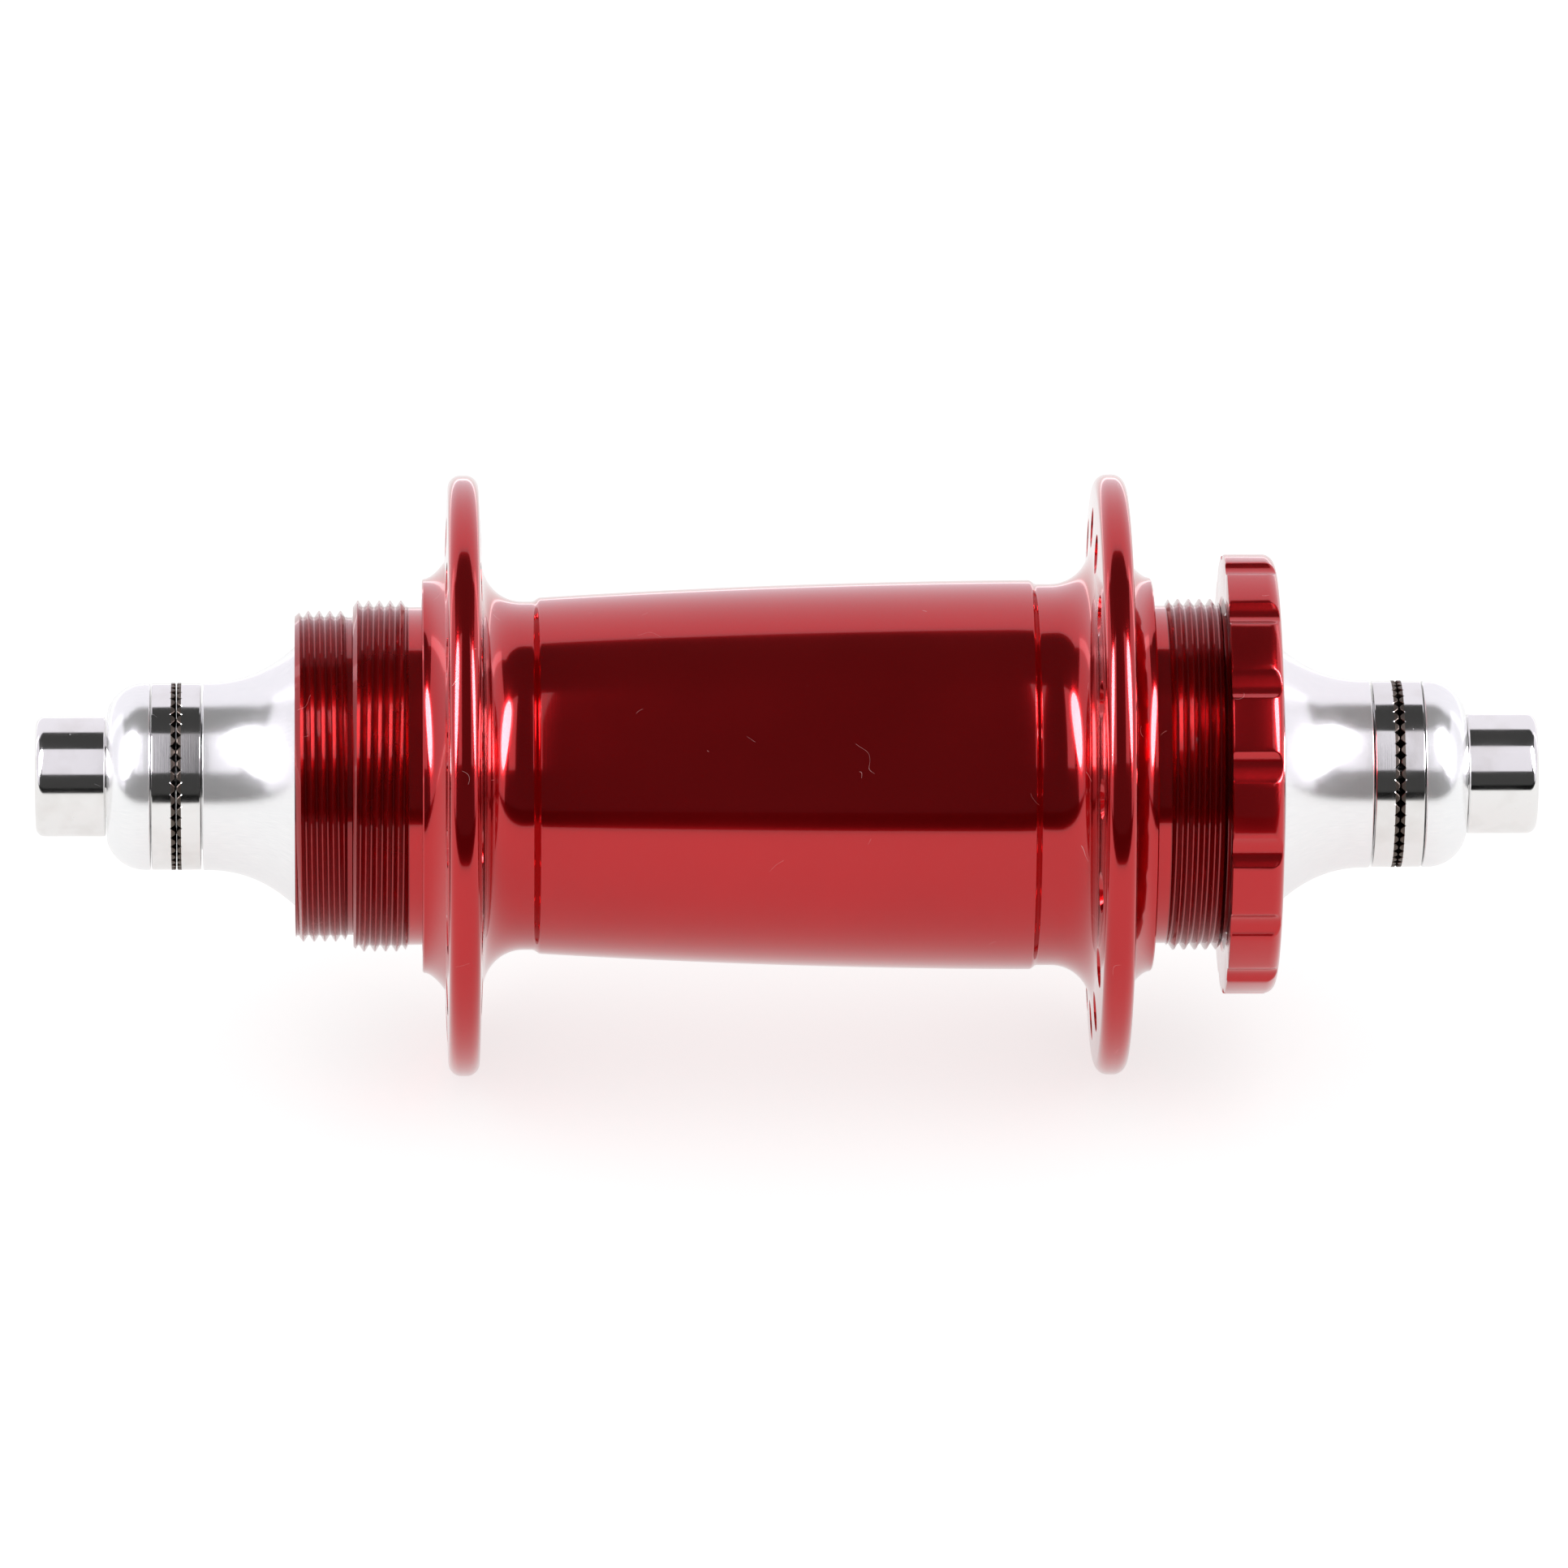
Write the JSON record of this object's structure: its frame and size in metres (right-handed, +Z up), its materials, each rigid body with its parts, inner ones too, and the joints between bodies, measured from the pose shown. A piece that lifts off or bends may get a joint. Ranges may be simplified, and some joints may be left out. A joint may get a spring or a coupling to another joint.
{
  "type": "track bicycle rear hub",
  "caption": "Double fixed track hub: a flanged shell threaded at both ends spins on cartridge bearings, with serrated clamps and axle bolts.",
  "frame": {"origin": "middle of the axle, midway between the two dropout faces", "axes": "+Y along the axle towards the end that carries the lockring; +Z up"},
  "size_m": [0.0592, 0.1478, 0.0592],
  "materials": {
    "red_anodised": "polished aluminium, red anodised",
    "satin_aluminium": "fine turned, satin",
    "polished_steel": "polished, plated",
    "bearing_steel": "ground",
    "seal_rubber": "matt"
  },
  "bodies": {
    "axle_set": {"axle": "bearing_steel", "left_inner_race": "bearing_steel", "right_inner_race": "bearing_steel", "left_end_cap": "satin_aluminium", "right_end_cap": "satin_aluminium", "left_inner_serrated_ring": "polished_steel", "right_inner_serrated_ring": "polished_steel"},
    "hub": {"hub_shell": "red_anodised", "left_outer_race": "bearing_steel", "right_outer_race": "bearing_steel", "left_inner_seal": "seal_rubber", "left_outer_seal": "seal_rubber", "right_inner_seal": "seal_rubber", "right_outer_seal": "seal_rubber"},
    "lockring_body": {"lockring": "red_anodised"},
    "left_cage": {"left_ball_cage": "bearing_steel"},
    "right_cage": {"right_ball_cage": "bearing_steel"},
    "left_clamp": {"left_outer_serrated_washer": "polished_steel", "left_dome_washer": "satin_aluminium"},
    "right_clamp": {"right_outer_serrated_washer": "polished_steel", "right_dome_washer": "satin_aluminium"},
    "left_bolt": {"left_axle_bolt": "polished_steel"},
    "right_bolt": {"right_axle_bolt": "polished_steel"}
  },
  "joints": [
    {"name": "hub_spin", "type": "hinge", "parent": "axle_set", "child": "hub", "pos_m": [0, 0, 0], "axis": [0, 1, 0], "continuous": true},
    {"name": "lockring_unscrew", "type": "slide", "parent": "hub", "child": "lockring_body", "axis": [0, 1, 0], "range_m": [0, 0.00635]},
    {"name": "left_cage_roll", "type": "hinge", "parent": "axle_set", "child": "left_cage", "pos_m": [0, -0.043, 0], "axis": [0, 1, 0], "continuous": true},
    {"name": "right_cage_roll", "type": "hinge", "parent": "axle_set", "child": "right_cage", "pos_m": [0, 0.043, 0], "axis": [0, 1, 0], "continuous": true},
    {"name": "left_clamp_slide", "type": "slide", "parent": "axle_set", "child": "left_clamp", "axis": [0, -1, 0], "range_m": [0, 0.01]},
    {"name": "left_bolt_turn", "type": "hinge", "parent": "left_clamp", "child": "left_bolt", "pos_m": [0, -0.067, 0], "axis": [0, -1, 0], "range_deg": [0, 2881]},
    {"name": "right_clamp_slide", "type": "slide", "parent": "axle_set", "child": "right_clamp", "axis": [0, 1, 0], "range_m": [0, 0.01]},
    {"name": "right_bolt_turn", "type": "hinge", "parent": "right_clamp", "child": "right_bolt", "pos_m": [0, 0.067, 0], "axis": [0, 1, 0], "range_deg": [0, 2881]}
  ],
  "couplings": [
    {"joint": "left_cage_roll", "follows": "hub_spin", "ratio": 0.5814},
    {"joint": "right_cage_roll", "follows": "hub_spin", "ratio": 0.5814},
    {"joint": "left_bolt_turn", "follows": "left_clamp_slide", "rad_per_m": 5026.5},
    {"joint": "right_bolt_turn", "follows": "right_clamp_slide", "rad_per_m": 5026.5}
  ]
}
